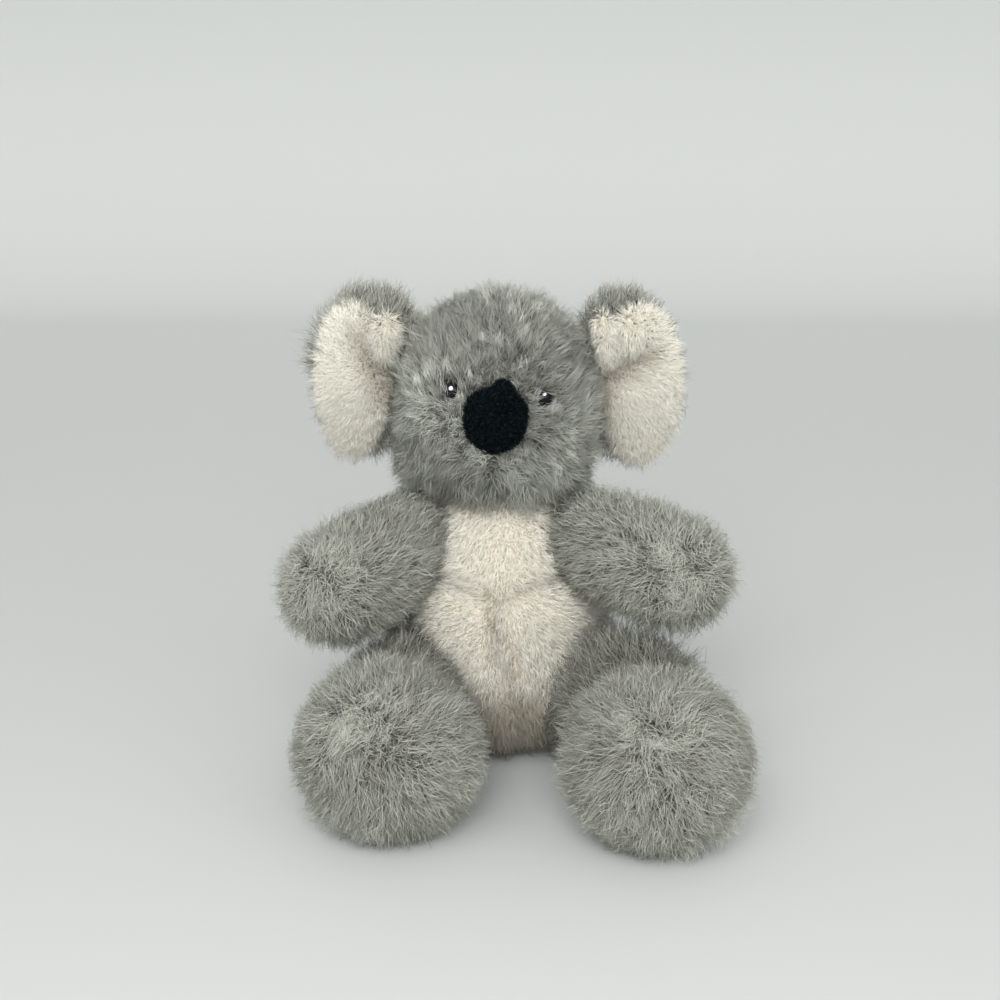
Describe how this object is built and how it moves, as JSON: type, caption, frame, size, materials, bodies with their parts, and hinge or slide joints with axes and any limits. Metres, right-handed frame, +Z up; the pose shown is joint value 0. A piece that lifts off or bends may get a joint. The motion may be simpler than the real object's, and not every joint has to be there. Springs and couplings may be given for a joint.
{
  "type": "plush koala",
  "caption": "Seated plush koala with long grey fur, a cream belly and ear fronts, sewn arms, legs, ears and head that spring back, and two glossy eyes.",
  "frame": {"origin": "middle of the seat: the flat under the body, on the surface that the koala sits on", "axes": "+Z up, the koala faces -Y, and its own left side is +X"},
  "size_m": [0.1855, 0.1753, 0.2046],
  "materials": {
    "grey_fur": "long soft pile",
    "cream_fur": "soft pile",
    "black_pile": "short velour pile",
    "eye_plastic": "polished",
    "washer_plastic": "moulded",
    "stuffing": "loose fibre",
    "pellet_bag": "plain woven"
  },
  "bodies": {
    "torso": {"body_cover": "grey_fur", "belly_panel": "cream_fur", "body_stuffing": "stuffing", "seat_pellet_bag": "pellet_bag"},
    "head": {"head_cover": "grey_fur", "head_stuffing": "stuffing", "nose_pad": "black_pile", "left_eye": "eye_plastic", "right_eye": "eye_plastic", "left_eye_washer": "washer_plastic", "right_eye_washer": "washer_plastic"},
    "left_ear": {"left_ear_back": "grey_fur", "left_ear_front": "cream_fur"},
    "right_ear": {"right_ear_back": "grey_fur", "right_ear_front": "cream_fur"},
    "left_arm": {"left_arm_cover": "grey_fur", "left_arm_stuffing": "stuffing"},
    "right_arm": {"right_arm_cover": "grey_fur", "right_arm_stuffing": "stuffing"},
    "left_leg": {"left_leg_cover": "grey_fur", "left_leg_stuffing": "stuffing"},
    "right_leg": {"right_leg_cover": "grey_fur", "right_leg_stuffing": "stuffing"}
  },
  "joints": [
    {"name": "neck_turn", "type": "hinge", "parent": "torso", "child": "head", "pos_m": [0, 0, 0.121], "axis": [0, 0, 1], "range_deg": [-20, 20], "stiffness_Nm_per_rad": 0.3},
    {"name": "left_ear_fold", "type": "hinge", "parent": "head", "child": "left_ear", "pos_m": [0.03975, 0.009, 0.1645], "axis": [0, 0, -1], "range_deg": [-12, 20], "stiffness_Nm_per_rad": 0.05},
    {"name": "right_ear_fold", "type": "hinge", "parent": "head", "child": "right_ear", "pos_m": [-0.03975, 0.009, 0.1665], "axis": [0, 0, 1], "range_deg": [-12, 20], "stiffness_Nm_per_rad": 0.05},
    {"name": "left_arm_open", "type": "hinge", "parent": "torso", "child": "left_arm", "pos_m": [0.0299, -0.0077, 0.096], "axis": [0, 0, 1], "range_deg": [-12, 40], "stiffness_Nm_per_rad": 0.3},
    {"name": "right_arm_open", "type": "hinge", "parent": "torso", "child": "right_arm", "pos_m": [-0.0299, -0.0077, 0.096], "axis": [0, 0, -1], "range_deg": [-12, 40], "stiffness_Nm_per_rad": 0.3},
    {"name": "left_leg_spread", "type": "hinge", "parent": "torso", "child": "left_leg", "pos_m": [0.03772, -0.0077, 0.0315], "axis": [0, 0, 1], "range_deg": [-5, 22], "stiffness_Nm_per_rad": 0.3},
    {"name": "right_leg_spread", "type": "hinge", "parent": "torso", "child": "right_leg", "pos_m": [-0.03772, -0.0077, 0.0315], "axis": [0, 0, -1], "range_deg": [-5, 22], "stiffness_Nm_per_rad": 0.3}
  ]
}
